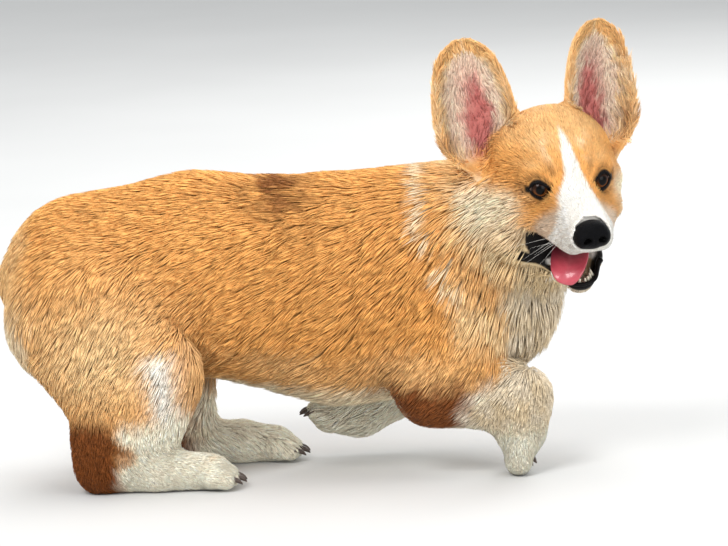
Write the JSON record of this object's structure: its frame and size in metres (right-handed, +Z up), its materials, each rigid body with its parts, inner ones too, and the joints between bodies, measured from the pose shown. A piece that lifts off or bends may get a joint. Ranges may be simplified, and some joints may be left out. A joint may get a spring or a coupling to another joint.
{
  "type": "corgi figure",
  "caption": "Life-size still figure of a young Pembroke Welsh corgi at a low run, head turned to its right, mouth open and tongue out, standing on its own feet.",
  "frame": {"origin": "on the floor under the middle of the whole box", "axes": "+X along the trunk towards the chest, +Y to the dog's left, +Z up"},
  "size_m": [0.4784, 0.2176, 0.3315],
  "materials": {
    "head": "short soft coat",
    "ear_right": "short soft coat",
    "ear_left": "short soft coat",
    "eye_right": "wet gloss",
    "eye_left": "wet gloss",
    "nose": "pebbled, moist",
    "lower_jaw": "short soft coat with dark lips",
    "tongue": "moist",
    "neck": "long soft coat",
    "trunk": "dense medium coat",
    "tail": "dense medium coat",
    "thigh_right": "dense medium coat",
    "shank_right": "short soft coat",
    "foot_right": "short soft coat",
    "thigh_left": "dense medium coat",
    "shank_left": "short soft coat",
    "foot_left": "short soft coat",
    "upper_arm_right": "dense medium coat",
    "forearm_right": "short soft coat",
    "paw_right": "short soft coat",
    "upper_arm_left": "dense medium coat",
    "forearm_left": "short soft coat",
    "paw_left": "short soft coat"
  },
  "bodies": {
    "root": {"head": "head", "ear_right": "ear_right", "ear_left": "ear_left", "eye_right": "eye_right", "eye_left": "eye_left", "nose": "nose", "lower_jaw": "lower_jaw", "tongue": "tongue", "neck": "neck", "trunk": "trunk", "tail": "tail", "thigh_right": "thigh_right", "shank_right": "shank_right", "foot_right": "foot_right", "thigh_left": "thigh_left", "shank_left": "shank_left", "foot_left": "foot_left", "upper_arm_right": "upper_arm_right", "forearm_right": "forearm_right", "paw_right": "paw_right", "upper_arm_left": "upper_arm_left", "forearm_left": "forearm_left", "paw_left": "paw_left"}
  },
  "joints": []
}
